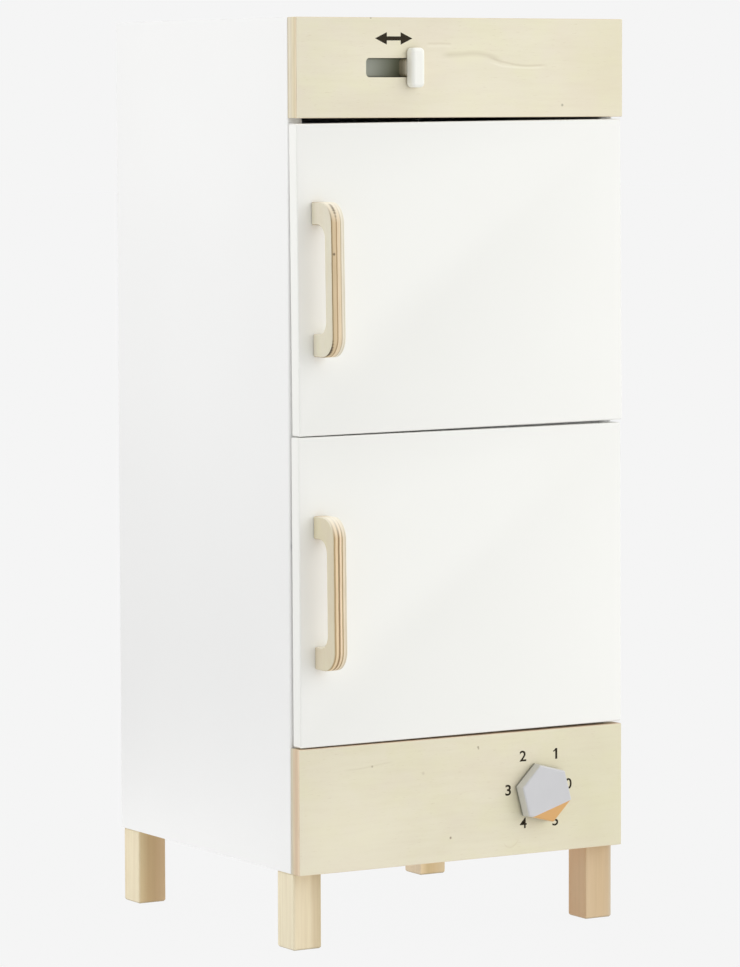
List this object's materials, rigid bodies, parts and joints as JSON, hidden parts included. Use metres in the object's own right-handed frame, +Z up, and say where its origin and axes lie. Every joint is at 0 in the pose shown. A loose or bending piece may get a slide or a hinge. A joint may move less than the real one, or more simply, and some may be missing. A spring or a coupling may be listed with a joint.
{
  "type": "toy fridge",
  "caption": "Wooden play fridge: white cabinet on square pine legs, freezer door above a fridge door with plywood C handles, slider above and hexagonal dial below.",
  "frame": {"origin": "bottom centre of the bounding box, on the floor under the legs", "axes": "+Z up; +Y to the rear, so the doors face -Y; +X to the right seen from the front, where the doors are hinged"},
  "size_m": [0.3366, 0.3588, 0.8],
  "materials": {
    "white_paint": "white satin paint on fibreboard",
    "plywood": "clear matt varnish on pale plywood",
    "pine": "clear matt varnish on solid pine",
    "grey_paint": "grey paint on thin hardboard",
    "knob_paint": "white satin paint on turned and sanded wood",
    "dial_paint": "light grey satin paint on wood, one corner painted orange",
    "steel": "zinc plated",
    "nickel": "nickel plated"
  },
  "bodies": {
    "cabinet": {"left_side_panel": "white_paint", "right_side_panel": "white_paint", "top_panel": "white_paint", "freezer_ceiling": "white_paint", "compartment_divider": "white_paint", "fridge_floor": "white_paint", "bottom_panel": "white_paint", "back_panel": "white_paint", "fridge_shelf": "white_paint", "top_front_board": "plywood", "bottom_front_board": "plywood", "slider_upper_rail": "plywood", "slider_lower_rail": "plywood", "front_left_leg": "pine", "front_right_leg": "pine", "rear_left_leg": "pine", "rear_right_leg": "pine", "front_left_leg_screw": "steel", "front_right_leg_screw": "steel", "rear_left_leg_screw": "steel", "rear_right_leg_screw": "steel", "front_left_shelf_pin": "steel", "rear_left_shelf_pin": "steel", "front_right_shelf_pin": "steel", "rear_right_shelf_pin": "steel", "freezer_upper_hinge_pin": "steel", "freezer_lower_hinge_pin": "steel", "fridge_upper_hinge_pin": "steel", "fridge_lower_hinge_pin": "steel", "freezer_upper_cabinet_leaf": "nickel", "freezer_lower_cabinet_leaf": "nickel", "fridge_upper_cabinet_leaf": "nickel", "fridge_lower_cabinet_leaf": "nickel", "freezer_magnet": "nickel", "fridge_magnet": "nickel"},
    "freezer_door_leaf": {"freezer_door": "white_paint", "freezer_handle": "plywood", "freezer_upper_handle_screw": "steel", "freezer_lower_handle_screw": "steel", "freezer_upper_door_leaf": "nickel", "freezer_lower_door_leaf": "nickel", "freezer_strike_disc": "steel"},
    "fridge_door_leaf": {"fridge_door": "white_paint", "fridge_handle": "plywood", "fridge_upper_handle_screw": "steel", "fridge_lower_handle_screw": "steel", "fridge_upper_door_leaf": "nickel", "fridge_lower_door_leaf": "nickel", "fridge_strike_disc": "steel"},
    "slider": {"slider_knob": "knob_paint", "slider_stem": "plywood", "slider_plate": "grey_paint", "slider_screw": "steel"},
    "dial": {"dial_knob": "dial_paint", "dial_shaft": "steel", "dial_washer": "steel", "dial_nut": "steel"}
  },
  "joints": [
    {"name": "freezer_door_hinge", "type": "hinge", "parent": "cabinet", "child": "freezer_door_leaf", "pos_m": [0.1659, -0.13215, 0.57985], "axis": [0, 0, 1], "range_deg": [0, 180]},
    {"name": "fridge_door_hinge", "type": "hinge", "parent": "cabinet", "child": "fridge_door_leaf", "pos_m": [0.1659, -0.13215, 0.31145], "axis": [0, 0, 1], "range_deg": [0, 180]},
    {"name": "slider_slide", "type": "slide", "parent": "cabinet", "child": "slider", "axis": [1, 0, 0], "range_m": [-0.0416, 0]},
    {"name": "dial_turn", "type": "hinge", "parent": "cabinet", "child": "dial", "pos_m": [0.0767, -0.14615, 0.1209], "axis": [0, -1, 0], "continuous": true}
  ]
}
